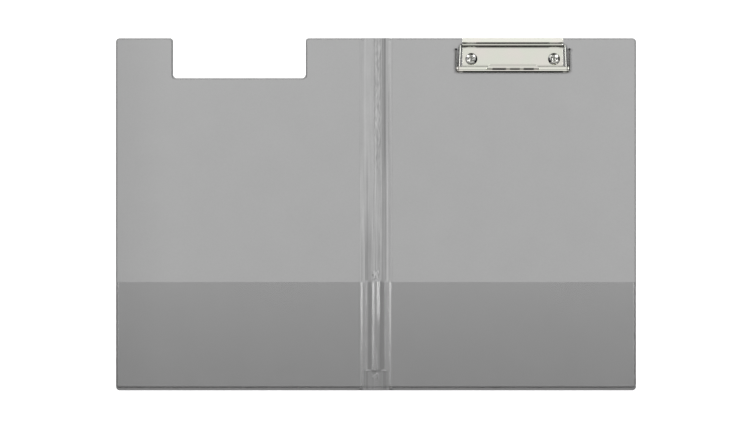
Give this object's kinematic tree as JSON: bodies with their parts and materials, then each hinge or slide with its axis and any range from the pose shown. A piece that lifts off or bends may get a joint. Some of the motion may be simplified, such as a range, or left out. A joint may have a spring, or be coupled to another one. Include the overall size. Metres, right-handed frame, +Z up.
{
  "type": "clipboard folder",
  "caption": "Folding clipboard, open flat: film-covered board covers, a film spine, a clear pocket across the foot, a notched front cover and a sprung steel clip.",
  "frame": {"origin": "middle of the open folder, on the surface that it lies on", "axes": "+X from the notched front cover across the spine to the back board with the clip, +Y towards the clip edge, +Z up out of the inside of the folder"},
  "size_m": [0.4724, 0.32, 0.0091],
  "materials": {
    "grey_board": "raw grey board",
    "grey_film": "satin",
    "smoky_film": "gloss",
    "plated_steel": "bright nickel plate",
    "plated_wire": "bright nickel plate",
    "clear_plastic": "gloss"
  },
  "bodies": {
    "back_cover": {"back_core_board": "grey_board", "back_outer_film": "grey_film", "back_inner_film": "grey_film", "back_pocket_film": "smoky_film", "clip_base_plate": "plated_steel", "clip_rivet_left": "plated_steel", "clip_rivet_right": "plated_steel"},
    "spine": {"spine_outer_film": "grey_film", "spine_inner_film": "grey_film", "spine_pocket_film": "smoky_film"},
    "front_cover": {"front_core_board": "grey_board", "front_outer_film": "grey_film", "front_inner_film": "grey_film", "front_pocket_film": "smoky_film"},
    "clip_jaw": {"clip_jaw": "plated_steel", "clip_spring_wire": "plated_wire", "paper_guard_left": "clear_plastic", "paper_guard_right": "clear_plastic"}
  },
  "joints": [
    {"name": "spine_fold", "type": "hinge", "parent": "back_cover", "child": "spine", "pos_m": [0.0055, 0, 0.0003], "axis": [0, 1, 0], "range_deg": [-90, 90]},
    {"name": "cover_fold", "type": "hinge", "parent": "spine", "child": "front_cover", "pos_m": [-0.0055, 0, 0.0003], "axis": [0, 1, 0], "range_deg": [-90, 90]},
    {"name": "jaw_lift", "type": "hinge", "parent": "back_cover", "child": "clip_jaw", "pos_m": [0.12408, 0.1538, 0.0045], "axis": [-1, 0, 0], "range_deg": [0, 60], "stiffness_Nm_per_rad": 0.35, "springref_deg": -57.3}
  ]
}
